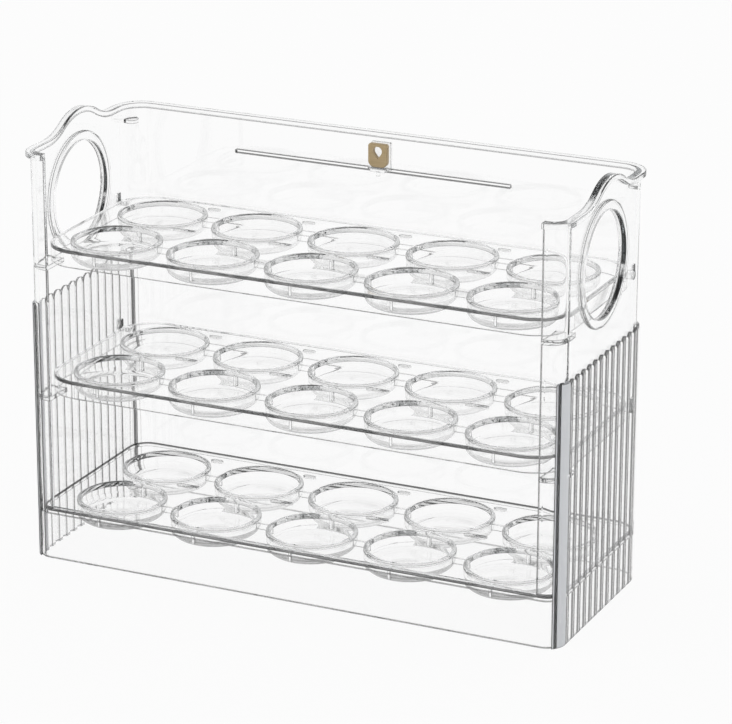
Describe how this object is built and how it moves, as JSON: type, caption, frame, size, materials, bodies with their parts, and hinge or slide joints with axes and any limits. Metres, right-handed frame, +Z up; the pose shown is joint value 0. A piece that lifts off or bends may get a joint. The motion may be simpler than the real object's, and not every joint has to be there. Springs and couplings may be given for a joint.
{
  "type": "egg storage container",
  "caption": "Clear open-front stand with stacked trays of round egg cups, upper trays that flip up, handle holes in the fluted sides and a sliding date marker.",
  "frame": {"origin": "middle of the underside, on the surface the stand rests on", "axes": "+Z up, front towards -Y, +X to the right seen from the front"},
  "size_m": [0.2604, 0.1024, 0.199],
  "materials": {
    "clear_plastic": "clear, polished",
    "gold_plate": "satin gold"
  },
  "bodies": {
    "stand": {"body_shell": "clear_plastic", "bottom_tray": "clear_plastic"},
    "middle_tier": {"middle_tray": "clear_plastic"},
    "top_tier": {"top_tray": "clear_plastic"},
    "date_marker": {"marker_plate": "gold_plate", "marker_clip": "clear_plastic"}
  },
  "joints": [
    {"name": "top_tray_hinge", "type": "hinge", "parent": "stand", "child": "top_tier", "pos_m": [0, 0.0335, 0.1451], "axis": [-1, 0, 0], "range_deg": [0, 93]},
    {"name": "middle_tray_hinge", "type": "hinge", "parent": "stand", "child": "middle_tier", "pos_m": [0, 0.0335, 0.0836], "axis": [-1, 0, 0], "range_deg": [0, 39]},
    {"name": "marker_slide", "type": "slide", "parent": "stand", "child": "date_marker", "axis": [1, 0, 0], "range_m": [-0.0683, 0.0593]}
  ]
}
